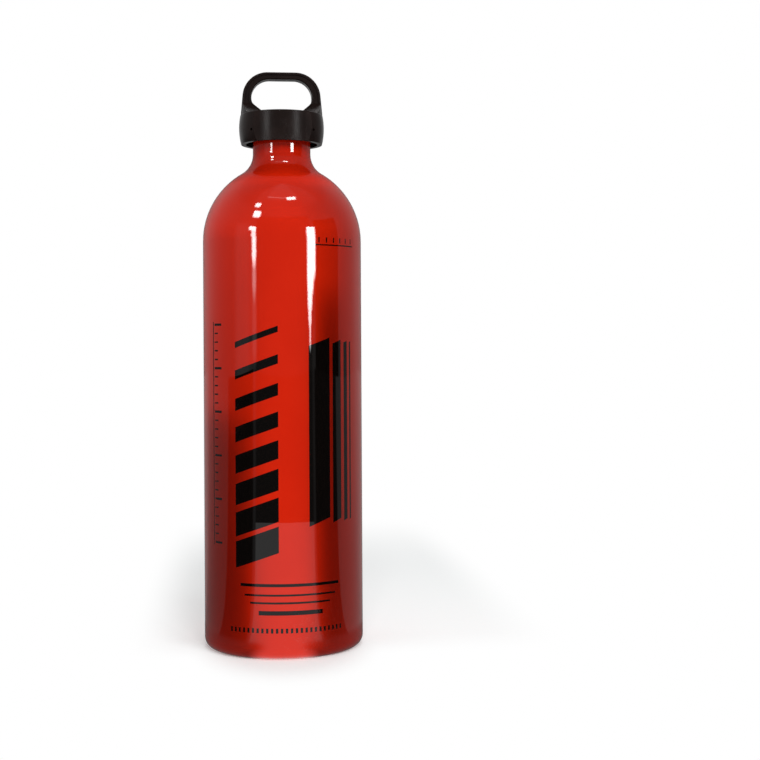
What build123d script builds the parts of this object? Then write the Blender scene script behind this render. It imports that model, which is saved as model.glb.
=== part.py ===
"""Camping fuel bottle: a one-piece aluminium shell and a press-and-turn closure with a carrying loop.

Millimetres, +Z up. The origin is at the middle of the foot, on the surface that the bottle stands
on, and the loop's broad face looks along -Y. The thread is right-handed, so the closure rises as it
turns anticlockwise seen from above.
"""

import math
import os

from build123d import *

# Body of the shell
body_radius = 37.5
body_wall = 1.0
shoulder_level = 191.6
shoulder_radius = 37.3

# Foot of the shell, pushed in inside a flat ring
foot_round = 5.0
foot_ring_width = 3.0
push_up = 6.0
base_wall = 2.0
inner_foot_round = 4.0

# Neck and rolled lip
neck_radius = 13.7
neck_fillet = 11.0
neck_rise = 13.1
bore_radius = 11.9
bore_fillet = 4.0
lip_radius = 14.6
lip_height = 2.4
lip_round = 0.5
mouth_chamfer = 1.8

# Thread: ridges in the neck and on the plug, apart at their crests and at their flanks
thread_pitch = 4.0
thread_depth = 1.0
thread_gap = 0.35
flank_gap = 0.3
crest_width = 1.35
neck_turns = 2.5
plug_turns = 2.0
neck_thread_drop = 4.0

# Plug
flange_radius = 15.6
flange_thickness = 2.2
flange_round = 0.4
plug_tip = 0.7
spring_well_radius = 8.2
spring_well_depth = 5.1
core_radius = 8.0
core_web = 2.4

# Drive lugs, on the plug's flange and under the overcap's ceiling
lug_count = 8
lug_angle = 18.0
lug_inner_radius = 12.4
lug_outer_radius = 15.0
plug_lug_height = 1.5
cap_lug_height = 2.0
lug_gap = 0.4
lug_floor_gap = 0.3

# Seal, washer, spring and retaining ring
rest_gap = 0.1
seal_wire_radius = 1.1
washer_clearance = 0.3
washer_bore_radius = 4.5
washer_thickness = 0.8
spring_wire_radius = 0.6
spring_coil_radius = 6.9
spring_turns = 3.5
guide_radius = 5.9
guide_wall = 1.0
guide_height = 2.5
retainer_thickness = 1.6
retainer_clearance = 0.35
retainer_fit = 0.05

# Overcap: a barrel-shaped grip with a skirt round the neck
cap_height = 14.1
skirt_radius = 19.2
grip_radius = 20.15
grip_rise = 6.7
cap_top_radius = 19.5
cap_wall = 2.9
cap_edge_round = 0.8
skirt_edge_round = 0.4
flange_clearance = 0.35
snap_groove = 0.3
snap_bead_radius = 17.0

# Panels at the front and back of the grip, and the dimples in the pads beside them
panel_radius = 18.6
panel_angle = 35.0
pad_angle = 43.0
dimple_angle = 46.5
dimple_radius = 0.7
dimple_depth = 0.8
dimple_rise = 5.4

# Carrying loop, with a saddle where each arm meets the grip
loop_rise = 20.1
loop_base_half = 19.6
loop_top_half = 17.45
loop_round = 12.0
loop_bar = 3.4
loop_depth = 7.0
loop_edge_round = 0.8
opening_half = 14.3
opening_round = 8.6
web_size = 5.6
web_round = 5.0
saddle_half_depth = 10.0
saddle_rise = 5.2
channel_rim = 1.2
channel_depth = 0.7
channel_drop = 15.3

# One overrun for every cut
overrun = 2.0

# Thread and plug, worked out from the neck
lip_level = shoulder_level + shoulder_radius + neck_rise
gap_share = thread_gap / thread_depth
flank_room = thread_pitch - 2 * flank_gap - (1 + gap_share) * crest_width
base_width = flank_room / (1 - gap_share)
neck_thread_level = lip_level - neck_thread_drop - neck_turns * thread_pitch
plug_thread_level = neck_thread_level + thread_pitch / 2
shank_radius = bore_radius - thread_depth - thread_gap
plug_level = plug_thread_level - base_width / 2 - plug_tip

# The seal rests in the mouth's chamfer, and the flange on the seal
seal_radius = shank_radius + seal_wire_radius + rest_gap
seal_seat = (seal_wire_radius + rest_gap) * math.sqrt(2)
seal_level = lip_level - bore_radius - mouth_chamfer + seal_radius + seal_seat
flange_level = seal_level + seal_wire_radius + rest_gap
flange_top = flange_level + flange_thickness
well_level = flange_top - spring_well_depth

# The overcap's lugs hang just above the plug's, half a lug apart, and drop between them when pressed
plug_lug_top = flange_top + plug_lug_height
cap_lug_level = plug_lug_top + lug_gap
press_travel = lug_gap + plug_lug_height - lug_floor_gap
ceiling_level = cap_lug_level + cap_lug_height
cap_top = ceiling_level + cap_wall
skirt_level = cap_top - cap_height
loop_top = cap_top + loop_rise

# Retaining ring, washer and spring
retainer_top = flange_level - rest_gap
groove_radius = snap_bead_radius + snap_groove
groove_level = retainer_top - retainer_thickness - rest_gap
cap_bore = flange_radius + flange_clearance
washer_level = well_level + rest_gap
spring_level = washer_level + washer_thickness + rest_gap
spring_top = ceiling_level - rest_gap


def on_circle(radius, angle):
    """Point on a circle about the axis, at an angle from the front."""
    turn = math.radians(angle)
    return (radius * math.sin(turn), -radius * math.cos(turn))


def make_ridge(radius, level, turns, depth):
    """Helical ridge on a round wall, standing out for a positive depth and in for a negative one."""
    root = -math.copysign(thread_depth / 2, depth)
    with BuildPart() as ridge:
        with BuildLine() as path:
            Helix(thread_pitch, turns * thread_pitch, radius, center=(0, 0, level))
        with BuildSketch(Plane(path.line @ 0, x_dir=(1, 0, 0), z_dir=path.line % 0)):
            with BuildLine():
                Polyline(
                    (root, base_width / 2),
                    (0, base_width / 2),
                    (depth, crest_width / 2),
                    (depth, -crest_width / 2),
                    (0, -base_width / 2),
                    (root, -base_width / 2),
                    close=True,
                )
            make_face()
        sweep(path=path.line, is_frenet=True)
    return ridge.part


def make_lugs(level, height, first_angle):
    """Ring of drive lugs from a level up, or down for a negative height."""
    half = lug_angle / 2
    with BuildPart() as lugs:
        with BuildSketch(Plane.XY.offset(level)):
            for turn in range(lug_count):
                angle = first_angle + turn * 360 / lug_count - half
                with BuildLine():
                    outer = CenterArc((0, 0), lug_outer_radius, angle, lug_angle)
                    inner = CenterArc((0, 0), lug_inner_radius, angle, lug_angle)
                    Line(inner @ 0, outer @ 0)
                    Line(inner @ 1, outer @ 1)
                make_face()
        extrude(amount=height)
    return lugs.part


os.makedirs("parts", exist_ok=True)

# Shell: one wall from foot to lip, and the thread's ridge in the neck
foot_outer = body_radius - foot_round
foot_inner = foot_outer - foot_ring_width
hollow_radius = body_radius - body_wall
crown_offset = body_radius - shoulder_radius
inner_shoulder_radius = shoulder_radius - body_wall
neck_foot = shoulder_level + math.sqrt(shoulder_radius**2 - (neck_radius - crown_offset) ** 2)
bore_foot = shoulder_level + math.sqrt(inner_shoulder_radius**2 - (bore_radius - crown_offset) ** 2)
dome_radius = (foot_inner**2 + push_up**2) / (2 * push_up)

neck_ridge = make_ridge(bore_radius, neck_thread_level, neck_turns, -thread_depth)

with BuildPart() as bottle_shell:
    with BuildSketch(Plane.XZ) as wall:
        with BuildLine():
            RadiusArc((0, push_up), (foot_inner, 0), dome_radius)
            Line((foot_inner, 0), (foot_outer, 0))
            RadiusArc((foot_outer, 0), (body_radius, foot_round), -foot_round)
            Line((body_radius, foot_round), (body_radius, shoulder_level))
            RadiusArc((body_radius, shoulder_level), (neck_radius, neck_foot), -shoulder_radius)
            Polyline(
                (neck_radius, neck_foot),
                (neck_radius, lip_level - lip_height),
                (lip_radius, lip_level - lip_height),
                (lip_radius, lip_level),
                (bore_radius + mouth_chamfer, lip_level),
                (bore_radius, lip_level - mouth_chamfer),
                (bore_radius, bore_foot),
            )
            RadiusArc((bore_radius, bore_foot), (hollow_radius, shoulder_level), inner_shoulder_radius)
            Line((hollow_radius, shoulder_level), (hollow_radius, base_wall + inner_foot_round))
            RadiusArc(
                (hollow_radius, base_wall + inner_foot_round),
                (hollow_radius - inner_foot_round, base_wall),
                inner_foot_round,
            )
            Line((hollow_radius - inner_foot_round, base_wall), (foot_inner, base_wall))
            RadiusArc((foot_inner, base_wall), (0, base_wall + push_up), -dome_radius)
            Line((0, base_wall + push_up), (0, push_up))
        make_face()
        corners = wall.vertices()
        fillet(corners.sort_by_distance((neck_radius, neck_foot))[0], neck_fillet)
        corners = wall.vertices()
        fillet(corners.sort_by_distance((bore_radius, bore_foot))[0], bore_fillet)
        corners = wall.vertices()
        fillet(corners.filter_by_position(Axis.X, lip_radius, lip_radius), lip_round)
    revolve(axis=Axis.Z)
    add(neck_ridge)

# Plug: threaded shank, flange, spring well and drive lugs
plug_ridge = make_ridge(shank_radius, plug_thread_level, plug_turns, thread_depth)
plug_lugs = make_lugs(flange_top, plug_lug_height, 0)

with BuildPart() as thread_plug:
    with BuildSketch(Plane.XY.offset(plug_level)):
        Circle(shank_radius)
    extrude(amount=flange_level - plug_level)
    with BuildSketch(Plane.XY.offset(flange_level)):
        Circle(flange_radius)
    extrude(amount=flange_thickness)
    rims = thread_plug.edges().filter_by(GeomType.CIRCLE)
    fillet(rims.filter_by(lambda edge: edge.radius == flange_radius), flange_round)
    add(plug_ridge)
    with BuildSketch(Plane.XY.offset(flange_top)):
        Circle(spring_well_radius)
    extrude(amount=-spring_well_depth, mode=Mode.SUBTRACT)
    with BuildSketch(Plane.XY.offset(plug_level)):
        Circle(core_radius)
    extrude(amount=well_level - core_web - plug_level, mode=Mode.SUBTRACT)
    add(plug_lugs)

# Seal ring in the mouth
with BuildPart() as seal_ring:
    with BuildSketch(Plane.XZ):
        with Locations((seal_radius, seal_level)):
            Circle(seal_wire_radius)
    revolve(axis=Axis.Z)

# Washer under the spring
with BuildPart() as thrust_washer:
    with BuildSketch(Plane.XY.offset(washer_level)):
        Circle(spring_well_radius - washer_clearance)
        Circle(washer_bore_radius, mode=Mode.SUBTRACT)
    extrude(amount=washer_thickness)

# Spring, one round wire
with BuildPart() as press_spring:
    spring_height = spring_top - spring_level - 2 * spring_wire_radius
    with BuildLine() as coil:
        Helix(
            spring_height / spring_turns,
            spring_height,
            spring_coil_radius,
            center=(0, 0, spring_level + spring_wire_radius),
        )
    with BuildSketch(Plane(coil.line @ 0, x_dir=(1, 0, 0), z_dir=coil.line % 0)):
        Circle(spring_wire_radius)
    sweep(path=coil.line, is_frenet=True)

# Retaining ring, snapped into the overcap under the plug's flange
with BuildPart() as retaining_ring:
    with BuildSketch(Plane.XY.offset(retainer_top)):
        Circle(groove_radius - retainer_fit)
        Circle(lip_radius + retainer_clearance, mode=Mode.SUBTRACT)
    extrude(amount=-retainer_thickness)

# Loop: its front outline, its side outline and the grip's taper cut one block
def loop_corners(inset, base):
    """Corners of the loop's outer edge, drawn in from it, down to a base level."""
    slope = (loop_base_half - loop_top_half) / (loop_top - loop_base)
    base_half = loop_base_half - slope * (base - loop_base) - inset
    top_half = loop_top_half - inset
    top = loop_top - inset
    return [(-base_half, base), (base_half, base), (top_half, top), (-top_half, top)]


def opening_corners(grow):
    """Corners of the loop's opening, drawn outwards from it."""
    half = opening_half + grow
    web_foot = opening_half - web_size + grow * math.sqrt(2)
    web_head = cap_top + web_size - grow * (math.sqrt(2) - 1)
    top = opening_top + grow
    right = [(web_foot, cap_top), (half, web_head), (half, top)]
    return right + [(-x, z) for x, z in reversed(right)]


loop_base = cap_top - cap_wall
opening_top = loop_top - loop_bar
channel_level = loop_top - channel_drop

opening_rounds = [0, web_round, opening_round, opening_round, web_round, 0]

with BuildPart() as loop:
    with BuildSketch(Plane.XZ):
        with BuildLine():
            FilletPolyline(*loop_corners(0, loop_base), radius=[0, 0, loop_round, loop_round], close=True)
        make_face()
        with BuildLine():
            FilletPolyline(*opening_corners(0), radius=opening_rounds, close=True)
        make_face(mode=Mode.SUBTRACT)
    extrude(amount=loop_depth / 2, both=True)
    fillet(loop.faces().filter_by(Axis.Y).edges(), loop_edge_round)
    for side in (-1, 1):
        with BuildSketch(Plane.XZ.offset(side * loop_depth / 2)):
            with BuildLine():
                inner_round = loop_round - channel_rim
                corners = loop_corners(channel_rim, channel_level)
                FilletPolyline(*corners, radius=[0, 0, inner_round, inner_round], close=True)
            make_face()
            with BuildLine():
                outer_rounds = [size + channel_rim if size else 0 for size in opening_rounds]
                FilletPolyline(*opening_corners(channel_rim), radius=outer_rounds, close=True)
            make_face(mode=Mode.SUBTRACT)
        extrude(amount=-side * channel_depth, mode=Mode.SUBTRACT)

with BuildPart() as saddles:
    with BuildSketch(Plane.XZ):
        Polygon(
            (0, loop_base),
            (loop_base_half, loop_base),
            (loop_top_half, loop_top),
            (0, loop_top),
            align=None,
        )
    revolve(axis=Axis.Z)
    with BuildSketch(Plane.YZ):
        with BuildLine():
            Polyline(
                (-saddle_half_depth, loop_base),
                (saddle_half_depth, loop_base),
                (saddle_half_depth, cap_top),
                (loop_depth / 2, cap_top + saddle_rise),
                (-loop_depth / 2, cap_top + saddle_rise),
                (-saddle_half_depth, cap_top),
                close=True,
            )
        make_face()
    extrude(amount=loop_base_half, both=True, mode=Mode.INTERSECT)
    with BuildSketch(Plane.XZ):
        with BuildLine():
            FilletPolyline(*opening_corners(0), radius=opening_rounds, close=True)
        make_face()
    extrude(amount=saddle_half_depth + overrun, both=True, mode=Mode.SUBTRACT)

# Overcap: barrel, panels, bore, drive lugs, spring guide and loop
cap_lugs = make_lugs(ceiling_level, -cap_lug_height, 180 / lug_count)

with BuildPart() as overcap:
    with BuildSketch(Plane.XZ) as barrel:
        with BuildLine():
            Line((0, skirt_level), (skirt_radius, skirt_level))
            ThreePointArc(
                (skirt_radius, skirt_level),
                (grip_radius, skirt_level + grip_rise),
                (cap_top_radius, cap_top),
            )
            Polyline((cap_top_radius, cap_top), (0, cap_top), (0, skirt_level))
        make_face()
        rims = barrel.vertices().filter_by(lambda corner: corner.X > panel_radius)
        fillet(rims.sort_by(Axis.Y)[-1], cap_edge_round)
        fillet(rims.sort_by(Axis.Y)[0], skirt_edge_round)
    revolve(axis=Axis.Z)
    add(loop.part)
    add(saddles.part)
    panel_foot = Vector(*on_circle(panel_radius, panel_angle))
    pad_edge = Vector(*on_circle(grip_radius, pad_angle))
    ramp_end = pad_edge + (pad_edge - panel_foot)
    front = -grip_radius - overrun
    with BuildSketch(Plane.XY.offset(skirt_level - overrun)):
        with PolarLocations(0, 2):
            Polygon(
                (panel_foot.X, panel_foot.Y),
                (ramp_end.X, ramp_end.Y),
                (ramp_end.X, front),
                (-ramp_end.X, front),
                (-ramp_end.X, ramp_end.Y),
                (-panel_foot.X, panel_foot.Y),
                align=None,
            )
        Circle(panel_radius, mode=Mode.SUBTRACT)
    extrude(amount=cap_height + overrun, mode=Mode.SUBTRACT)
    with BuildSketch(Plane.XZ):
        with BuildLine():
            Polyline(
                (0, ceiling_level),
                (cap_bore, ceiling_level),
                (cap_bore, retainer_top),
                (groove_radius, retainer_top),
                (groove_radius, groove_level),
                (snap_bead_radius, groove_level),
                (snap_bead_radius, skirt_level - overrun),
                (0, skirt_level - overrun),
                close=True,
            )
        make_face()
    revolve(axis=Axis.Z, mode=Mode.SUBTRACT)
    add(cap_lugs)
    with BuildSketch(Plane.XY.offset(ceiling_level)):
        Circle(guide_radius)
        Circle(guide_radius - guide_wall, mode=Mode.SUBTRACT)
    extrude(amount=-guide_height)
    dimple_level = skirt_level + dimple_rise
    dimples = [
        Plane(origin=(*on_circle(grip_radius, turn), dimple_level), z_dir=(*on_circle(1, turn), 0))
        for turn in (dimple_angle, -dimple_angle, 180 - dimple_angle, 180 + dimple_angle)
    ]
    with BuildSketch(*dimples):
        Circle(dimple_radius)
    extrude(amount=-dimple_depth, mode=Mode.SUBTRACT)

bottle_shell.part.label = "bottle_shell"
export_step(bottle_shell.part, "parts/bottle_shell.step")
thread_plug.part.label = "thread_plug"
export_step(thread_plug.part, "parts/thread_plug.step")
seal_ring.part.label = "seal_ring"
export_step(seal_ring.part, "parts/seal_ring.step")
thrust_washer.part.label = "thrust_washer"
export_step(thrust_washer.part, "parts/thrust_washer.step")
press_spring.part.label = "press_spring"
export_step(press_spring.part, "parts/press_spring.step")
retaining_ring.part.label = "retaining_ring"
export_step(retaining_ring.part, "parts/retaining_ring.step")
overcap.part.label = "overcap"
export_step(overcap.part, "parts/overcap.step")
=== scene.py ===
"""Looks of the camping fuel bottle: red lacquered shell, black moulded closure, studio and camera."""

import math

import bpy
from mathutils import Euler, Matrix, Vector


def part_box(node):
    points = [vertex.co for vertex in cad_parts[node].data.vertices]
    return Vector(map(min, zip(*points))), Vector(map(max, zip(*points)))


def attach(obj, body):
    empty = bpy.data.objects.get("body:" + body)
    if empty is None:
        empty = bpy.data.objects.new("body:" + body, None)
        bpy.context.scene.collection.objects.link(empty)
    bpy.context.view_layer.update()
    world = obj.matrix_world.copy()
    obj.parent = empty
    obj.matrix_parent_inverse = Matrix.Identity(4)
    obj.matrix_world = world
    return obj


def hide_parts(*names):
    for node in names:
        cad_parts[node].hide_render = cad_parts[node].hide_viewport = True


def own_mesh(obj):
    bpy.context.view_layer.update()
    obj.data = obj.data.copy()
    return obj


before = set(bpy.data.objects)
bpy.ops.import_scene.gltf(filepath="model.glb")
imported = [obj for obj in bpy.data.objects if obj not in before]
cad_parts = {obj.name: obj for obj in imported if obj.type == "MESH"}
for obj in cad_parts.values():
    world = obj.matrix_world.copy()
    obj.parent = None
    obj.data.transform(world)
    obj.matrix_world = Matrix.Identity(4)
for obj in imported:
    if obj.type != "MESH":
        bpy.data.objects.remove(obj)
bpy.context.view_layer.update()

MM = 0.001
BODY_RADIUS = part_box("bottle_shell")[1].x
WHITE = (1.0, 1.0, 1.0, 1.0)


# Node trees

class Nodes:
    """Short calls for placing and wiring shader nodes in one tree."""

    def __init__(self, tree):
        self.tree = tree

    def add(self, kind, values=None, **settings):
        node = self.tree.nodes.new(kind)
        for name, value in settings.items():
            setattr(node, name, value)
        for socket, value in (values or {}).items():
            self.feed(node.inputs[socket], value)
        return node

    def feed(self, socket, value):
        if isinstance(value, bpy.types.NodeSocket):
            self.tree.links.new(value, socket)
        else:
            socket.default_value = value

    def math(self, operation, *values, clamp=False):
        node = self.add("ShaderNodeMath", operation=operation, use_clamp=clamp)
        for socket, value in zip(node.inputs, values):
            self.feed(socket, value)
        return node.outputs[0]

    # The mix node has its colours at sockets 6, 7 and 2, and its values at sockets 2, 3 and 0

    def mix_colour(self, share, first, second):
        node = self.add("ShaderNodeMix", data_type="RGBA")
        self.feed(node.inputs[0], share)
        self.feed(node.inputs[6], first)
        self.feed(node.inputs[7], second)
        return node.outputs[2]

    def mix_value(self, share, first, second):
        node = self.add("ShaderNodeMix", data_type="FLOAT")
        self.feed(node.inputs[0], share)
        self.feed(node.inputs[2], first)
        self.feed(node.inputs[3], second)
        return node.outputs[0]

    def span(self, value, low, high, to_low=0.0, to_high=1.0, smooth=False):
        kind = "SMOOTHSTEP" if smooth else "LINEAR"
        node = self.add("ShaderNodeMapRange", interpolation_type=kind)
        for socket, number in zip(node.inputs, (value, low, high, to_low, to_high)):
            self.feed(socket, number)
        return node.outputs[0]

    def noise(self, coordinates, scale, detail=2.0, roughness=0.5):
        values = {"Vector": coordinates, "Scale": scale, "Detail": detail, "Roughness": roughness}
        return self.add("ShaderNodeTexNoise", values).outputs["Fac"]

    def group(self, tree, **values):
        node = self.tree.nodes.new("ShaderNodeGroup")
        node.node_tree = tree
        for name, value in values.items():
            self.feed(node.inputs[name.replace("_", " ").capitalize()], value)
        return node


def new_group(name, inputs, outputs):
    """Node group with its helper and its ends; each input has a starting value or is a vector."""
    tree = bpy.data.node_groups.new(name, "ShaderNodeTree")
    for socket, start in inputs.items():
        kind = "NodeSocketVector" if start == "vector" else "NodeSocketFloat"
        made = tree.interface.new_socket(socket, in_out="INPUT", socket_type=kind)
        if kind == "NodeSocketFloat":
            made.default_value = start
    for socket, kind in outputs.items():
        tree.interface.new_socket(socket, in_out="OUTPUT", socket_type=kind)
    nodes = Nodes(tree)
    return tree, nodes, nodes.add("NodeGroupInput"), nodes.add("NodeGroupOutput")


# Width of the print's edges in millimetres
PRINT_EDGE = 0.12

# An edge fades over its own width, half of it inside and half outside
EDGE_FADE = (0.5, -0.5)

# Handling scuffs: how the noise is turned and stretched, the noise in the middle of a line and how
# far from it the line ends, the patches' scale as a share of the lines', and the noise between
# which a patch fades in
SCUFF_TURN = (0.3, 0.5, 0.2)
SCUFF_STRETCH = (1.0, 6.0, 1.4)
SCUFF_MIDDLE = 0.5
SCUFF_WIDTH = 0.006
SCUFF_PATCHES = 0.2
SCUFF_PATCH_EDGE = (0.52, 0.68)

# Noise between which a blotch fades in
BLOTCH_EDGE = (0.35, 0.7)


def print_bar_group():
    """Mask of a printed bar on unrolled coordinates in millimetres, with sloping ends and crisp edges."""
    inputs = {"Across": 0.0, "Up": 0.0, "Centre across": 0.0, "Centre up": 0.0}
    inputs |= {"Half width": 5.0, "Half height": 5.0, "Tilt": 0.0}
    tree, nodes, start, end = new_group("print bar", inputs, {"Mask": "NodeSocketFloat"})
    across, up, centre_across, centre_up, half_width, half_height, tilt = start.outputs[:7]
    offset = nodes.math("SUBTRACT", across, centre_across)
    shift = nodes.math("MULTIPLY", offset, tilt)
    rise = nodes.math("SUBTRACT", nodes.math("SUBTRACT", up, centre_up), shift)
    beyond_side = nodes.math("SUBTRACT", nodes.math("ABSOLUTE", offset), half_width)
    beyond_end = nodes.math("SUBTRACT", nodes.math("ABSOLUTE", rise), half_height)
    beyond = nodes.math("MAXIMUM", beyond_side, beyond_end)
    nodes.feed(end.inputs["Mask"], nodes.span(nodes.math("DIVIDE", beyond, PRINT_EDGE), *EDGE_FADE))
    return tree


def print_row_group(bar):
    """Mask of a run of equal printed bars, one at each pitch along the run."""
    inputs = {"Along": 0.0, "Aside": 0.0, "First": 0.0, "Pitch": 10.0, "Count": 3.0, "Middle": 0.0}
    inputs |= {"Half length": 2.0, "Half breadth": 2.0}
    tree, nodes, start, end = new_group("print row", inputs, {"Mask": "NodeSocketFloat"})
    along, aside, first, pitch, count, middle, half_length, half_breadth = start.outputs[:8]
    steps = nodes.math("DIVIDE", nodes.math("SUBTRACT", along, first), pitch)
    index = nodes.math("ROUND", steps)
    last = nodes.math("SUBTRACT", count, 1.0)
    held = nodes.math("MINIMUM", nodes.math("MAXIMUM", index, 0.0), last)
    centre = nodes.math("MULTIPLY_ADD", held, pitch, first)
    mask = nodes.group(
        bar, across=aside, up=along, centre_across=middle, centre_up=centre,
        half_width=half_breadth, half_height=half_length,
    )
    nodes.feed(end.inputs["Mask"], mask.outputs["Mask"])
    return tree


def fine_grain_group():
    """Fine bump height and a slow blotch mask, for lacquer, mouldings and rubber."""
    inputs = {"Vector": "vector", "Grain": 900.0, "Blotch": 40.0}
    outputs = {"Height": "NodeSocketFloat", "Blotches": "NodeSocketFloat"}
    tree, nodes, start, end = new_group("fine grain", inputs, outputs)
    vector, grain, blotch = start.outputs[:3]
    fine = nodes.noise(vector, grain, detail=3.0, roughness=0.6)
    slow = nodes.noise(vector, blotch, detail=4.0, roughness=0.55)
    nodes.feed(end.inputs["Height"], fine)
    nodes.feed(end.inputs["Blotches"], nodes.span(slow, *BLOTCH_EDGE, smooth=True))
    return tree


def scuff_group():
    """Sparse thin scuffs and specks, as handling leaves them on a smooth surface."""
    inputs = {"Vector": "vector", "Scale": 120.0, "Amount": 0.3}
    tree, nodes, start, end = new_group("handling scuffs", inputs, {"Mask": "NodeSocketFloat"})
    vector, scale, amount = start.outputs[:3]
    values = {"Vector": vector, "Rotation": SCUFF_TURN, "Scale": SCUFF_STRETCH}
    stretch = nodes.add("ShaderNodeMapping", values)
    lines = nodes.noise(stretch.outputs[0], scale, detail=5.0, roughness=0.7)
    off_line = nodes.math("ABSOLUTE", nodes.math("SUBTRACT", lines, SCUFF_MIDDLE))
    thin = nodes.span(off_line, SCUFF_WIDTH, 0.0)
    patches = nodes.noise(vector, nodes.math("MULTIPLY", scale, SCUFF_PATCHES))
    where = nodes.span(patches, *SCUFF_PATCH_EDGE, smooth=True)
    mask = nodes.math("MULTIPLY", nodes.math("MULTIPLY", thin, where), amount, clamp=True)
    nodes.feed(end.inputs["Mask"], mask)
    return tree


PRINT_BAR = print_bar_group()
PRINT_ROW = print_row_group(PRINT_BAR)
FINE_GRAIN = fine_grain_group()
SCUFFS = scuff_group()


# Materials

def empty_material(name):
    """Material with nothing in its tree, and the tree's helper."""
    material = bpy.data.materials.new(name)
    material.use_nodes = True
    material.node_tree.nodes.clear()
    return material, Nodes(material.node_tree)


def new_material(name):
    """Material with a Principled shader wired to its output, and object coordinates."""
    material, nodes = empty_material(name)
    shader = nodes.add("ShaderNodeBsdfPrincipled")
    nodes.add("ShaderNodeOutputMaterial", {"Surface": shader.outputs[0]})
    place = nodes.add("ShaderNodeTexCoord").outputs["Object"]
    return material, nodes, shader, place


def set_bump(nodes, shader, height, strength, distance):
    """Bump on the shader's normal, with its distance in metres."""
    bump = nodes.add("ShaderNodeBump", {"Height": height, "Strength": strength, "Distance": distance})
    nodes.feed(shader.inputs["Normal"], bump.outputs[0])


def unrolled(nodes, place):
    """Distance round the shell from its front and height above the foot, in millimetres."""
    parts = nodes.add("ShaderNodeSeparateXYZ", {"Vector": place}).outputs
    angle = nodes.math("ARCTAN2", parts[0], nodes.math("MULTIPLY", parts[1], -1.0))
    across = nodes.math("MULTIPLY", angle, BODY_RADIUS / MM)
    return across, nodes.math("DIVIDE", parts[2], MM)


# Print, in millimetres round from the front and up from the foot: the slope of the ends of blocks
# and stripes, then the blocks, with their half heights from the lowest up
PRINT_TILT = 0.35
BLOCK_MIDDLE, BLOCK_HALF_WIDTH = -14.0, 10.5
BLOCK_FOOT, BLOCK_PITCH = 51.0, 13.6
BLOCK_HALF_HEIGHTS = (6.0, 5.5, 4.9, 4.2, 3.5, 2.8, 2.1, 1.4)

# Upright stripes, each with its place and half width
STRIPES = ((16.0, 5.4), (25.6, 2.6), (31.4, 1.3), (35.0, 0.6))
STRIPE_LEVEL, STRIPE_HALF_HEIGHT = 103.0, 41.0

# Upright scale: where its ticks stand, their half length along the scale and half breadth across
# it, and the spine beside them
SCALE_FOOT, SCALE_PITCH, SCALE_TICKS, SCALE_MIDDLE = 52.0, 4.0, 26, -37.0
SMALL_TICK = (0.35, 1.4)
LONG_TICK = (0.55, 2.7)
LONG_TICK_EVERY, LONG_TICK_ASIDE = 5, 1.3
SPINE_ASIDE, SPINE_HALF_WIDTH, SPINE_OVERHANG = 2.4, 0.35, 1.2

# Level rules near the foot: height, half width and half height
RULE_MIDDLE = 2.0
RULES = ((34.0, 24.0, 0.7), (29.5, 22.0, 0.45), (26.0, 19.0, 0.45), (21.5, 15.0, 1.0))

# Rows of ticks: first place, pitch, count, level, half length along the row and half breadth
FOOT_TICKS = (-27.0, 2.25, 25, 13.5, 0.55, 1.1)
FILL_TICKS = (16.0, 4.0, 6, 190.2, 0.35, 1.2)

# Rule under the upper ticks: middle, level, half width and half height
FILL_RULE = (26.0, 188.0, 12.0, 0.3)


def printed_artwork(nodes, across, up):
    """Mask of the black print: slanted blocks, stripes, an upright scale, level rules and rows of ticks."""
    masks = []

    def bar(x, z, half_width, half_height, tilt=0.0):
        made = nodes.group(
            PRINT_BAR, across=across, up=up, centre_across=x, centre_up=z,
            half_width=half_width, half_height=half_height, tilt=tilt,
        )
        masks.append(made.outputs["Mask"])

    def row(along, aside, first, pitch, count, middle, half_length, half_breadth):
        made = nodes.group(
            PRINT_ROW, along=along, aside=aside, first=first, pitch=pitch, count=float(count),
            middle=middle, half_length=half_length, half_breadth=half_breadth,
        )
        masks.append(made.outputs["Mask"])

    for step, half_height in enumerate(BLOCK_HALF_HEIGHTS):
        bar(BLOCK_MIDDLE, BLOCK_FOOT + step * BLOCK_PITCH, BLOCK_HALF_WIDTH, half_height, PRINT_TILT)
    for x, half_width in STRIPES:
        bar(x, STRIPE_LEVEL, half_width, STRIPE_HALF_HEIGHT, PRINT_TILT)
    row(up, across, SCALE_FOOT, SCALE_PITCH, SCALE_TICKS, SCALE_MIDDLE, *SMALL_TICK)
    long_pitch = SCALE_PITCH * LONG_TICK_EVERY
    long_count = (SCALE_TICKS - 1) // LONG_TICK_EVERY + 1
    row(up, across, SCALE_FOOT, long_pitch, long_count, SCALE_MIDDLE + LONG_TICK_ASIDE, *LONG_TICK)
    half_scale = SCALE_PITCH * (SCALE_TICKS - 1) / 2
    bar(SCALE_MIDDLE - SPINE_ASIDE, SCALE_FOOT + half_scale, SPINE_HALF_WIDTH, half_scale + SPINE_OVERHANG)
    for z, half_width, half_height in RULES:
        bar(RULE_MIDDLE, z, half_width, half_height)
    row(across, up, *FOOT_TICKS)
    bar(*FILL_RULE)
    row(across, up, *FILL_TICKS)
    total = masks[0]
    for mask in masks[1:]:
        total = nodes.math("MAXIMUM", total, mask)
    return total


# Heights between which less metal shows through under the lacquer towards the neck, and between which
# its red is painted deeper there, as painted shade under the closure
VEILED_METAL = (214.0, 221.0)
PAINTED_NECK_SHADE_HEIGHTS = (217.0, 227.0)

# Share of metal under the lacquer, below and above those heights
METAL_SHARES = (0.88, 0.15)
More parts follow.
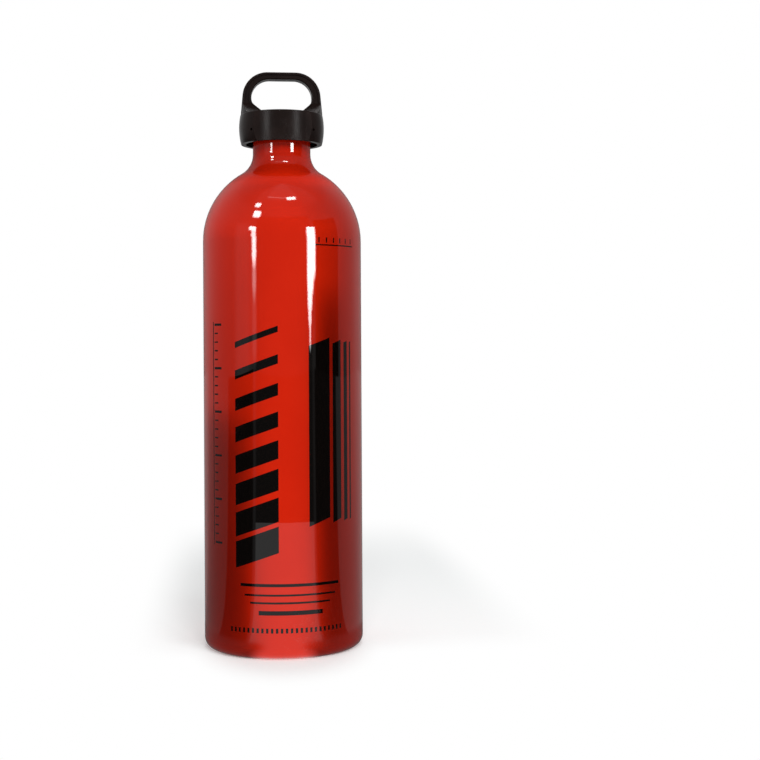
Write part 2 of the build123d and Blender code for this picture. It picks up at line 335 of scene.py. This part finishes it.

# Colours of the lacquer beside and on its blotches and of its painted shade on the neck under the closure,
# of the ink, of the bare metal beside and on its blotches, and of the scuffs
LACQUER_REDS = ((0.64, 0.0155, 0.0018, 1.0), (0.67, 0.0175, 0.0024, 1.0))
PAINTED_NECK_SHADE_RED = (0.42, 0.0098, 0.0014, 1.0)
INK = (0.002, 0.0012, 0.001, 1.0)
BARE_METALS = ((0.62, 0.62, 0.63, 1.0), (0.72, 0.72, 0.73, 1.0))
SCUFFED_LACQUER = (0.75, 0.45, 0.42, 1.0)

# Roughness under the coat, what scuffs and bare metal add to it, and the coat's index of refraction
LACQUER_ROUGHNESS, SCUFFS_ROUGHEN, METAL_SMOOTHS = 0.45, 0.2, -0.1
COAT_IOR = 1.5

# The wall's inside is where the normal's lean away from the axis, times the distance from it in
# metres, is less than this
LEVEL_PARTS = (1.0, 1.0, 0.0)
INWARD_LEAN = -0.0004

# Heights in millimetres between which the bottle's inner floor lies, and the least rise of its normal
INNER_FLOOR = (1.5, 12.0)
FLOOR_RISE = 0.5


def lacquered_shell():
    """Red candy lacquer over bright metal outside, bare drawn metal inside."""
    material, nodes, shader, place = new_material("red lacquer")
    across, up = unrolled(nodes, place)
    grain = nodes.group(FINE_GRAIN, vector=place, grain=1400.0, blotch=28.0)
    scuffs = nodes.group(SCUFFS, vector=place, scale=90.0, amount=0.12).outputs["Mask"]
    red = nodes.mix_colour(grain.outputs["Blotches"], *LACQUER_REDS)
    # Painted shade: the red darkens towards the neck, where the closure shades it
    red = nodes.mix_colour(nodes.span(up, *PAINTED_NECK_SHADE_HEIGHTS, smooth=True), red, PAINTED_NECK_SHADE_RED)
    ink = printed_artwork(nodes, across, up)
    skin = nodes.mix_colour(ink, red, INK)
    normal = nodes.add("ShaderNodeNewGeometry").outputs["True Normal"]
    flat_place = nodes.add("ShaderNodeVectorMath", {0: place, 1: LEVEL_PARTS}, operation="MULTIPLY")
    values = {0: normal, 1: flat_place.outputs[0]}
    lean = nodes.add("ShaderNodeVectorMath", values, operation="DOT_PRODUCT").outputs["Value"]
    wall_inside = nodes.math("LESS_THAN", lean, INWARD_LEAN)
    above_foot = nodes.math("GREATER_THAN", up, INNER_FLOOR[0])
    below_wall = nodes.math("LESS_THAN", up, INNER_FLOOR[1])
    rising = nodes.add("ShaderNodeSeparateXYZ", {"Vector": normal}).outputs[2]
    floor_inside = nodes.math("MULTIPLY", above_foot, below_wall)
    floor_inside = nodes.math("MULTIPLY", floor_inside, nodes.math("GREATER_THAN", rising, FLOOR_RISE))
    bare = nodes.math("MAXIMUM", wall_inside, floor_inside)
    metal = nodes.mix_colour(grain.outputs["Blotches"], *BARE_METALS)
    colour = nodes.mix_colour(bare, skin, metal)
    nodes.feed(shader.inputs["Base Color"], nodes.mix_colour(scuffs, colour, SCUFFED_LACQUER))
    metal_shows = nodes.span(up, *VEILED_METAL, *METAL_SHARES, smooth=True)
    candy = nodes.math("MULTIPLY", nodes.math("SUBTRACT", 1.0, ink), metal_shows)
    nodes.feed(shader.inputs["Metallic"], nodes.math("MAXIMUM", candy, bare))
    rough = nodes.math("MULTIPLY_ADD", scuffs, SCUFFS_ROUGHEN, LACQUER_ROUGHNESS)
    nodes.feed(shader.inputs["Roughness"], nodes.math("MULTIPLY_ADD", bare, METAL_SMOOTHS, rough))
    nodes.feed(shader.inputs["Coat Weight"], nodes.math("SUBTRACT", 1.0, bare))
    shader.inputs["Specular IOR Level"].default_value = 0.0
    shader.inputs["Coat Roughness"].default_value = 0.0
    shader.inputs["Coat IOR"].default_value = COAT_IOR
    set_bump(nodes, shader, grain.outputs["Height"], strength=0.022, distance=0.05 * MM)
    return material


# Mouldings: specular level, how much lighter a blotch is, the scuffs' colour, and how much rougher
# blotches and scuffs are
PLASTIC_SPECULAR = 0.06
BLOTCH_LIGHTER = 1.5
SCUFFED_PLASTIC = (0.09, 0.085, 0.085, 1.0)
BLOTCHES_ROUGHEN = 0.08


def moulded_plastic(name, colour, roughness, grain_scale, grain_strength):
    """Black moulding with a fine spark-eroded texture, slow blotches and handling scuffs."""
    material, nodes, shader, place = new_material(name)
    grain = nodes.group(FINE_GRAIN, vector=place, grain=grain_scale, blotch=120.0)
    scuffs = nodes.group(SCUFFS, vector=place, scale=260.0, amount=0.5).outputs["Mask"]
    shader.inputs["Specular IOR Level"].default_value = PLASTIC_SPECULAR
    lighter = tuple(value * BLOTCH_LIGHTER for value in colour[:3]) + (1.0,)
    base = nodes.mix_colour(grain.outputs["Blotches"], colour, lighter)
    nodes.feed(shader.inputs["Base Color"], nodes.mix_colour(scuffs, base, SCUFFED_PLASTIC))
    rough = nodes.math("MULTIPLY_ADD", grain.outputs["Blotches"], BLOTCHES_ROUGHEN, roughness)
    nodes.feed(shader.inputs["Roughness"], nodes.math("MULTIPLY_ADD", scuffs, SCUFFS_ROUGHEN, rough))
    set_bump(nodes, shader, grain.outputs["Height"], grain_strength, distance=0.08 * MM)
    return material


# Rubber's plain and bloomed colours and their roughness
RUBBERS = ((0.012, 0.012, 0.013, 1.0), (0.028, 0.028, 0.03, 1.0))
RUBBER_ROUGHNESS = (0.45, 0.62)


def seal_rubber():
    """Smooth dark rubber with a dull bloom."""
    material, nodes, shader, place = new_material("seal rubber")
    grain = nodes.group(FINE_GRAIN, vector=place, grain=700.0, blotch=200.0)
    bloom = nodes.mix_colour(grain.outputs["Blotches"], *RUBBERS)
    nodes.feed(shader.inputs["Base Color"], bloom)
    rough = nodes.span(grain.outputs["Blotches"], 0.0, 1.0, *RUBBER_ROUGHNESS)
    nodes.feed(shader.inputs["Roughness"], rough)
    set_bump(nodes, shader, grain.outputs["Height"], strength=0.15, distance=0.05 * MM)
    return material


# Steel: scale of its lines, how dark they are, and the range of noise with the range of roughness
# that it becomes
LINE_NOISE = 600.0
LINE_DARKNESS = 0.7
LINE_EDGE = (0.2, 0.8)
STEEL_ROUGHNESS = (0.22, 0.42)


def drawn_steel(name, colour, line_scale):
    """Bright steel with fine lines from rolling or drawing."""
    material, nodes, shader, place = new_material(name)
    stretch = nodes.add("ShaderNodeMapping", {"Vector": place, "Scale": (1.0, 1.0, line_scale)})
    lines = nodes.noise(stretch.outputs[0], LINE_NOISE, detail=4.0, roughness=0.7)
    darker = tuple(value * LINE_DARKNESS for value in colour[:3]) + (1.0,)
    nodes.feed(shader.inputs["Base Color"], nodes.mix_colour(lines, darker, colour))
    nodes.feed(shader.inputs["Roughness"], nodes.span(lines, *LINE_EDGE, *STEEL_ROUGHNESS))
    shader.inputs["Metallic"].default_value = 1.0
    set_bump(nodes, shader, lines, strength=0.1, distance=0.03 * MM)
    return material


def dress(node, material):
    """Gives a CAD node its material."""
    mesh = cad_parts[node].data
    mesh.materials.clear()
    mesh.materials.append(material)


# Each moulding's colour, roughness, and scale and strength of the grain
CAP_MOULDING = ((0.005, 0.0028, 0.0024, 1.0), 0.28, 2600.0, 0.3)
PLUG_MOULDING = ((0.014, 0.014, 0.015, 1.0), 0.42, 1800.0, 0.25)
RING_MOULDING = ((0.016, 0.016, 0.017, 1.0), 0.45, 1800.0, 0.25)

# Each steel's colour, and how many times finer its lines are upwards than across
WASHER_STEEL = ((0.62, 0.61, 0.6, 1.0), 8.0)
SPRING_STEEL = ((0.55, 0.55, 0.56, 1.0), 3.0)

dress("bottle_shell", lacquered_shell())
dress("overcap", moulded_plastic("cap moulding", *CAP_MOULDING))
dress("thread_plug", moulded_plastic("plug moulding", *PLUG_MOULDING))
dress("retaining_ring", moulded_plastic("ring moulding", *RING_MOULDING))
dress("seal_ring", seal_rubber())
dress("thrust_washer", drawn_steel("stamped washer", *WASHER_STEEL))
dress("press_spring", drawn_steel("spring wire", *SPRING_STEEL))


def place_object(name, data):
    """New object in the scene with its mesh, lamp or camera."""
    made = bpy.data.objects.new(name, data)
    bpy.context.scene.collection.objects.link(made)
    return made


def add_spring():
    """Copy of the spring on the spring seat's body, standing on the washer, in place of the CAD spring,
    which is hidden.
    """
    spring = place_object("spring_coil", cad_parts["press_spring"].data.copy())
    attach(spring, "spring_seat")
    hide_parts("press_spring")
    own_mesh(spring)


add_spring()


# Studio

# View in pixels: the picture's side, the focal length, the row at the eye's height and the column
# of the bottle's axis
PHOTO_SIZE = 760
FOCAL_PIXELS = 1430
EYE_ROW = 345.8
BOTTLE_COLUMN = 282.7

# Camera: its distance from the bottle's axis, its height, how many degrees round the bottle it
# stands and how many it is rolled
CAMERA_DEPTH = 682 * MM
CAMERA_HEIGHT = 141.9 * MM
CAMERA_TURN = 2.0
CAMERA_ROLL = -0.3

# Zones that reflections meet round the bottle, each laid over those before it. Bearings and
# elevations are in degrees, with bearing 0 towards the camera and rising to the right: bearing, half
# width, lowest, highest, softness, brightness for mirror reflections and for blurred ones
SKY_ZONES = (
    (180.0, 42.0, -90.0, 90.0, 8.0, 0.16, 0.85),
    (-180.0, 42.0, -90.0, 90.0, 8.0, 0.16, 0.85),
    (-98.0, 50.0, -90.0, 90.0, 4.0, 0.17, 1.02),
    (-59.0, 12.0, -90.0, 50.0, 12.0, 0.40, 1.26),
    (-92.0, 60.0, 20.0, 90.0, 12.0, 0.22, 0.82),
    (68.0, 20.0, -90.0, 26.0, 2.5, 0.005, 0.97),
    (0.0, 400.0, 46.0, 200.0, 14.0, 0.13, 0.74),
    (10.0, 70.0, 46.0, 200.0, 14.0, 0.26, 0.94),
    (2.0, 41.0, -90.0, 34.0, 3.0, 0.10, 1.04),
    (2.0, 41.0, 32.0, 60.0, 5.0, 0.22, 1.08),
    (2.0, 40.0, 58.5, 200.0, 5.0, 0.42, 1.0),
)

# Brightness where no zone lies, for mirror reflections and for blurred ones
SKY_PALE = (0.22, 0.47)

# Radius of a zone's corners, in widths of its soft edge
ZONE_ROUNDING = 0.7

# Strip lamps and small softboxes as the lacquer mirrors them: bearing, half width, lowest, highest,
# softness across and upwards, and the two brightnesses
SKY_LIGHTS = (
    (-12.0, 24.0, 61.3, 62.3, 2.0, 0.9, 2.2, 1.0),
    (39.9, 1.1, -0.1, 1.0, 1.8, 0.5, 13.0, 1.0),
    (39.7, 2.1, 0.8, 1.7, 2.6, 0.5, 19.0, 1.0),
    (39.9, 3.2, 1.45, 2.4, 3.6, 0.6, 24.0, 1.0),
    (40.7, 4.3, 2.1, 3.2, 4.0, 0.6, 27.0, 1.0),
    (42.2, 5.8, 2.75, 17.0, 4.4, 0.6, 30.0, 2.2),
    (-40.8, 3.0, -0.6, 2.2, 4.0, 1.0, 0.7, 1.0),
    (-40.8, 2.6, 2.0, 3.6, 4.0, 1.0, 4.5, 1.0),
    (-40.8, 2.8, 3.3, 5.6, 4.0, 0.7, 23.0, 1.0),
    (-41.6, 3.2, 5.2, 13.0, 3.6, 1.6, 20.0, 1.6),
    (-43.8, 5.2, 12.4, 17.6, 4.0, 2.6, 28.0, 2.0),
    (-42.0, 6.0, 30.5, 39.5, 3.4, 3.4, 26.0, 1.0),
    (-46.8, 5.6, 44.8, 50.6, 3.4, 3.4, 24.0, 1.0),
    (22.6, 11.5, 58.6, 63.4, 5.0, 2.4, 24.0, 1.0),
)

# Zones of the floor as reflections see it, a painted glow in place of its lit paper, with distances from
# the bottle's axis in millimetres in place of elevations
OUTWARDS = 1e5
FLOOR_ZONES = (
    (180.0, 42.0, -1.0, OUTWARDS, 8.0, 0.25, 0.45),
    (-180.0, 42.0, -1.0, OUTWARDS, 8.0, 0.25, 0.45),
    (66.0, 20.0, -1.0, OUTWARDS, 2.5, 0.02, 0.0),
    (110.5, 28.5, -1.0, OUTWARDS, 2.5, 0.27, 0.15),
    (-64.0, 21.0, -1.0, OUTWARDS, 2.5, 0.02, 0.0),
    (2.0, 41.0, -1.0, OUTWARDS, 2.5, 0.06, 1.04),
    (2.0, 41.0, -1.0, 543.0, 2.5, 0.70, 1.22),
    (110.0, 88.0, -1.0, 75.0, 16.0, 0.12, 0.24),
    (-110.0, 88.0, -1.0, 75.0, 16.0, 0.12, 0.24),
)

# Brightness of the floor where no zone lies, for mirror reflections and for blurred ones
FLOOR_PALE = (0.18, 0.05)

# Dark round flags beside the bottle, which only its blurred reflections show: bearing, distance of
# the axis, radius and height in millimetres, and brightness
FLAGS = ((56.6, 118.0, 34.0, 170.5, 0.02), (-80.0, 190.0, 115.0, 114.0, 0.10))
FLAG_SIDES = 96

# Lamps for the sheen of the closure, a strip at each side and one overhead: bearing, elevation,
# width, height and power, at one distance in metres
CLOSURE_LAMPS = (
    (-44.0, 10.0, 0.10, 0.20, 1.4),
    (44.0, 10.0, 0.10, 0.20, 1.4),
    (180.0, 68.0, 0.30, 0.20, 1.5),
)
CLOSURE_LAMP_DISTANCE = 0.6

# Softboxes in metres: name, place, side and power
SOFTBOXES = (
    ("front softbox", (0.04, -1.10, 0.84), 0.45, 8.0),
    ("right softbox", (0.53, -0.98, 0.80), 0.45, 5.0),
    ("top softbox", (0.0, 0.24, 1.25), 0.5, 3.2),
)

# Points that the softboxes and the closure's lamps are aimed at
MIDDLE = (0.0, 0.0, 0.15)
CLOSURE_MIDDLE = (0.0, 0.0, 0.245)

# Light of the world for every ray that is neither the camera's nor a reflection
AMBIENT = 0.30

# Floor: half its side, its colour, and the light added where the camera sees it
FLOOR_REACH = 6.0
PAPER = (0.88, 0.9, 0.9, 1.0)
FLOOR_LIFT = 0.18

# Where the floor's shadow fades to white, in metres: behind, to each side of its middle, and round
# the bottle in front, where the distance across counts for more
FADE_BACK = (0.20, 0.50)
FADE_MIDDLE, FADE_SIDE = 0.03, (0.070, 0.107)
FADE_FRONT = (0.050, 0.090)
FADE_SHAPE = (1.9, 1.0, 1.0)

# Depths between which the fade in front sets in
FRONT_EDGE = (0.02, -0.03)


def level_direction(bearing):
    """Parts across and in depth of the level direction at a bearing."""
    turn = math.radians(bearing - CAMERA_TURN)
    return math.sin(turn), -math.cos(turn)


def add_camera():
    """Camera at the photograph's viewing angle, rolled a little, with the bottle left of the middle."""
    data = bpy.data.cameras.new("photo view")
    data.lens = FOCAL_PIXELS / PHOTO_SIZE * data.sensor_width
    data.shift_y = (EYE_ROW - PHOTO_SIZE / 2) / PHOTO_SIZE
    turn = math.radians(-CAMERA_TURN)
    aside = math.atan((PHOTO_SIZE / 2 - BOTTLE_COLUMN) / FOCAL_PIXELS)
    reach = CAMERA_DEPTH / math.cos(aside)
    camera = place_object("photo view", data)
    across, depth = level_direction(0.0)
    camera.location = (reach * across, reach * depth, CAMERA_HEIGHT)
    heading = Euler((math.radians(90), 0.0, turn - aside)).to_quaternion()
    roll = Euler((0.0, 0.0, math.radians(CAMERA_ROLL))).to_quaternion()
    camera.rotation_mode = "QUATERNION"
    camera.rotation_quaternion = heading @ roll
    bpy.context.scene.camera = camera


def light_zone_group():
    """Soft-edged mask of a zone between two bearings and two levels, with rounded corners."""
    inputs = {"Bearing": 0.0, "Level": 0.0, "Centre": 0.0, "Half width": 10.0}
    inputs |= {"Lowest": 0.0, "Highest": 10.0, "Soft across": 2.0, "Soft upwards": 2.0}
    tree, nodes, start, end = new_group("light zone", inputs, {"Mask": "NodeSocketFloat"})
    bearing, level, centre, half_width, lowest, highest, soft_across, soft_upwards = start.outputs[:8]
    aside = nodes.math("ABSOLUTE", nodes.math("SUBTRACT", bearing, centre))
    under = nodes.math("SUBTRACT", lowest, level)
    over = nodes.math("SUBTRACT", level, highest)
    sideways = nodes.math("DIVIDE", nodes.math("SUBTRACT", aside, half_width), soft_across)
    upwards = nodes.math("DIVIDE", nodes.math("MAXIMUM", under, over), soft_upwards)
    sideways = nodes.math("ADD", sideways, ZONE_ROUNDING)
    upwards = nodes.math("ADD", upwards, ZONE_ROUNDING)
    inner = nodes.math("MINIMUM", nodes.math("MAXIMUM", sideways, upwards), 0.0)
    corner = nodes.add("ShaderNodeCombineXYZ", {0: nodes.math("MAXIMUM", sideways, 0.0)})
    nodes.feed(corner.inputs[1], nodes.math("MAXIMUM", upwards, 0.0))
    outer = nodes.add("ShaderNodeVectorMath", {0: corner.outputs[0]}, operation="LENGTH").outputs["Value"]
    furthest = nodes.math("SUBTRACT", nodes.math("ADD", inner, outer), ZONE_ROUNDING)
    nodes.feed(end.inputs["Mask"], nodes.span(furthest, *EDGE_FADE, smooth=True))
    return tree


def zone_brightness(nodes, direction, level, zones, pale, mirror):
    """Brightness of what lies in a direction: pale surroundings with each zone laid over them."""
    parts = nodes.add("ShaderNodeSeparateXYZ", {"Vector": direction}).outputs
    angle = nodes.math("ARCTAN2", parts[0], nodes.math("MULTIPLY", parts[1], -1.0))
    bearing = nodes.math("ADD", nodes.math("DEGREES", angle), CAMERA_TURN)
    brightness = nodes.mix_value(mirror, pale[1], pale[0])
    for centre, half_width, lowest, highest, soft_across, soft_upwards, sharp, blurred in zones:
        zone = nodes.group(
            LIGHT_ZONE, bearing=bearing, level=level, centre=centre, half_width=half_width,
            lowest=lowest, highest=highest, soft_across=soft_across, soft_upwards=soft_upwards,
        )
        here = nodes.mix_value(mirror, blurred, sharp)
        brightness = nodes.mix_value(zone.outputs["Mask"], brightness, here)
    return brightness


LIGHT_ZONE = light_zone_group()


def even_softness(zones):
    """Zones with their one softness written for across and upwards."""
    return [zone[:5] + zone[4:] for zone in zones]


def add_softbox(name, place, target, width, height, power):
    """Rectangular area light aimed at a point."""
    data = bpy.data.lights.new(name, "AREA")
    data.shape = "RECTANGLE"
    data.size = width
    data.size_y = height
    data.energy = power
    lamp = place_object(name, data)
    lamp.location = place
    lamp.rotation_euler = (Vector(target) - Vector(place)).to_track_quat("-Z", "Y").to_euler()
    lamp.visible_glossy = False
    return lamp


def add_closure_lamps(nodes_lit):
    """Lamps that light only the closure, where the lacquer mirrors the studio's own."""
    lit = bpy.data.collections.new("closure")
    for name in nodes_lit:
        lit.objects.link(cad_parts[name])
    for bearing, elevation, width, height, power in CLOSURE_LAMPS:
        across, depth = level_direction(bearing)
        rise = math.radians(elevation)
        flat = CLOSURE_LAMP_DISTANCE * math.cos(rise)
        level = CLOSURE_MIDDLE[2] + CLOSURE_LAMP_DISTANCE * math.sin(rise)
        place = (flat * across, flat * depth, level)
        lamp = add_softbox("closure lamp", place, CLOSURE_MIDDLE, width, height, power)
        lamp.visible_glossy = True
        lamp.light_linking.receiver_collection = lit


def add_flag(bearing, distance, radius, height, glow):
    """Dark upright cylinder beside the bottle, which mirror reflections pass through."""
    centre = Vector((*level_direction(bearing), 0.0)) * distance * MM
    ring = []
    for step in range(FLAG_SIDES):
        angle = math.tau * step / FLAG_SIDES
        ring.append(centre + Vector((math.cos(angle), math.sin(angle), 0.0)) * radius * MM)
    rise = Vector((0.0, 0.0, height * MM))
    faces = []
    for step in range(FLAG_SIDES):
        following = (step + 1) % FLAG_SIDES
        faces.append((step, following, FLAG_SIDES + following, FLAG_SIDES + step))
    faces.append(tuple(range(FLAG_SIDES, 2 * FLAG_SIDES)))
    mesh = bpy.data.meshes.new("dark flag")
    mesh.from_pydata(ring + [point + rise for point in ring], [], faces)
    flag = place_object("dark flag", mesh)
    flag.visible_camera = False
    flag.visible_diffuse = False
    flag.visible_transmission = False
    flag.visible_shadow = False
    material, nodes = empty_material("flag cloth")
    mirror = nodes.add("ShaderNodeLightPath").outputs["Is Singular Ray"]
    cloth = nodes.add("ShaderNodeEmission", {"Color": WHITE, "Strength": glow})
    clear = nodes.add("ShaderNodeBsdfTransparent")
    mix = nodes.add("ShaderNodeMixShader", {0: mirror, 1: cloth.outputs[0], 2: clear.outputs[0]})
    nodes.add("ShaderNodeOutputMaterial", {"Surface": mix.outputs[0]})
    mesh.materials.append(material)


def add_floor():
    """Plain pale floor, white away from the bottle, with its shadow kept near it; reflections see a painted
    glow of zones on it.
    """
    mesh = bpy.data.meshes.new("studio floor")
    corners = [(x * FLOOR_REACH, y * FLOOR_REACH, 0.0) for x, y in ((-1, -1), (1, -1), (1, 1), (-1, 1))]
    mesh.from_pydata(corners, [], [(0, 1, 2, 3)])
    floor = place_object("studio floor", mesh)
    material, nodes = empty_material("pale floor")
    place = nodes.add("ShaderNodeTexCoord").outputs["Object"]
    radius = nodes.add("ShaderNodeVectorMath", {0: place}, operation="LENGTH").outputs["Value"]
    path = nodes.add("ShaderNodeLightPath").outputs
    reflected = nodes.math("MAXIMUM", path["Is Glossy Ray"], path["Is Transmission Ray"])
    distance = nodes.math("DIVIDE", radius, MM)
    zones = even_softness(FLOOR_ZONES)
    glow = zone_brightness(nodes, place, distance, zones, FLOOR_PALE, path["Is Singular Ray"])
    paper = nodes.add("ShaderNodeBsdfDiffuse", {"Color": PAPER})
    lift = nodes.math("MULTIPLY", path["Is Camera Ray"], FLOOR_LIFT)
    white = nodes.add("ShaderNodeEmission", {"Color": WHITE, "Strength": lift})
    near = nodes.add("ShaderNodeAddShader", {0: paper.outputs[0], 1: white.outputs[0]})
    far = nodes.add("ShaderNodeEmission", {"Color": WHITE, "Strength": 1.0})
    narrowed = nodes.add("ShaderNodeVectorMath", {0: place, 1: FADE_SHAPE}, operation="MULTIPLY").outputs[0]
    spread = nodes.add("ShaderNodeVectorMath", {0: narrowed}, operation="LENGTH").outputs["Value"]
    across, depth = nodes.add("ShaderNodeSeparateXYZ", {"Vector": place}).outputs[:2]
    aside = nodes.math("ABSOLUTE", nodes.math("SUBTRACT", across, FADE_MIDDLE))
    in_front = nodes.span(depth, *FRONT_EDGE, smooth=True)
    before = nodes.math("MULTIPLY", nodes.span(spread, *FADE_FRONT, smooth=True), in_front)
    shaded = nodes.math("SUBTRACT", 1.0, before)
    for distance_out, limits in ((aside, FADE_SIDE), (depth, FADE_BACK)):
        kept = nodes.span(distance_out, *limits, 1.0, 0.0, smooth=True)
        shaded = nodes.math("MULTIPLY", shaded, kept)
    away = nodes.math("MULTIPLY", nodes.math("SUBTRACT", 1.0, shaded), path["Is Camera Ray"])
    seen = nodes.add("ShaderNodeMixShader", {0: away, 1: near.outputs[0], 2: far.outputs[0]})
    # Painted reflection: for reflection rays the floor glows with its zones instead of being lit
    mirror = nodes.add("ShaderNodeEmission", {"Color": WHITE, "Strength": glow})
    mix = nodes.add("ShaderNodeMixShader", {0: reflected, 1: seen.outputs[0], 2: mirror.outputs[0]})
    nodes.add("ShaderNodeOutputMaterial", {"Surface": mix.outputs[0]})
    mesh.materials.append(material)


def add_world():
    """White backdrop for the camera, the studio's zones for reflections, plain grey light for the rest."""
    world = bpy.data.worlds.new("studio")
    bpy.context.scene.world = world
    world.use_nodes = True
    world.node_tree.nodes.clear()
    nodes = Nodes(world.node_tree)
    direction = nodes.add("ShaderNodeTexCoord").outputs["Generated"]
    path = nodes.add("ShaderNodeLightPath").outputs
    rising = nodes.add("ShaderNodeSeparateXYZ", {"Vector": direction}).outputs[2]
    elevation = nodes.math("DEGREES", nodes.math("ARCSINE", rising))
    zones = even_softness(SKY_ZONES) + list(SKY_LIGHTS)
    glow = zone_brightness(nodes, direction, elevation, zones, SKY_PALE, path["Is Singular Ray"])
    reflected = nodes.math("MAXIMUM", path["Is Glossy Ray"], path["Is Transmission Ray"])
    light = nodes.mix_value(reflected, AMBIENT, glow)
    strength = nodes.mix_value(path["Is Camera Ray"], light, 1.0)
    white = nodes.add("ShaderNodeBackground", {"Color": WHITE, "Strength": strength})
    nodes.add("ShaderNodeOutputWorld", {"Surface": white.outputs[0]})


add_camera()
add_floor()
for flag_values in FLAGS:
    add_flag(*flag_values)
add_world()
for name, place, side, power in SOFTBOXES:
    add_softbox(name, place, MIDDLE, side, side, power)
add_closure_lamps(("overcap", "retaining_ring", "thread_plug"))

bpy.context.scene.view_settings.view_transform = "Standard"
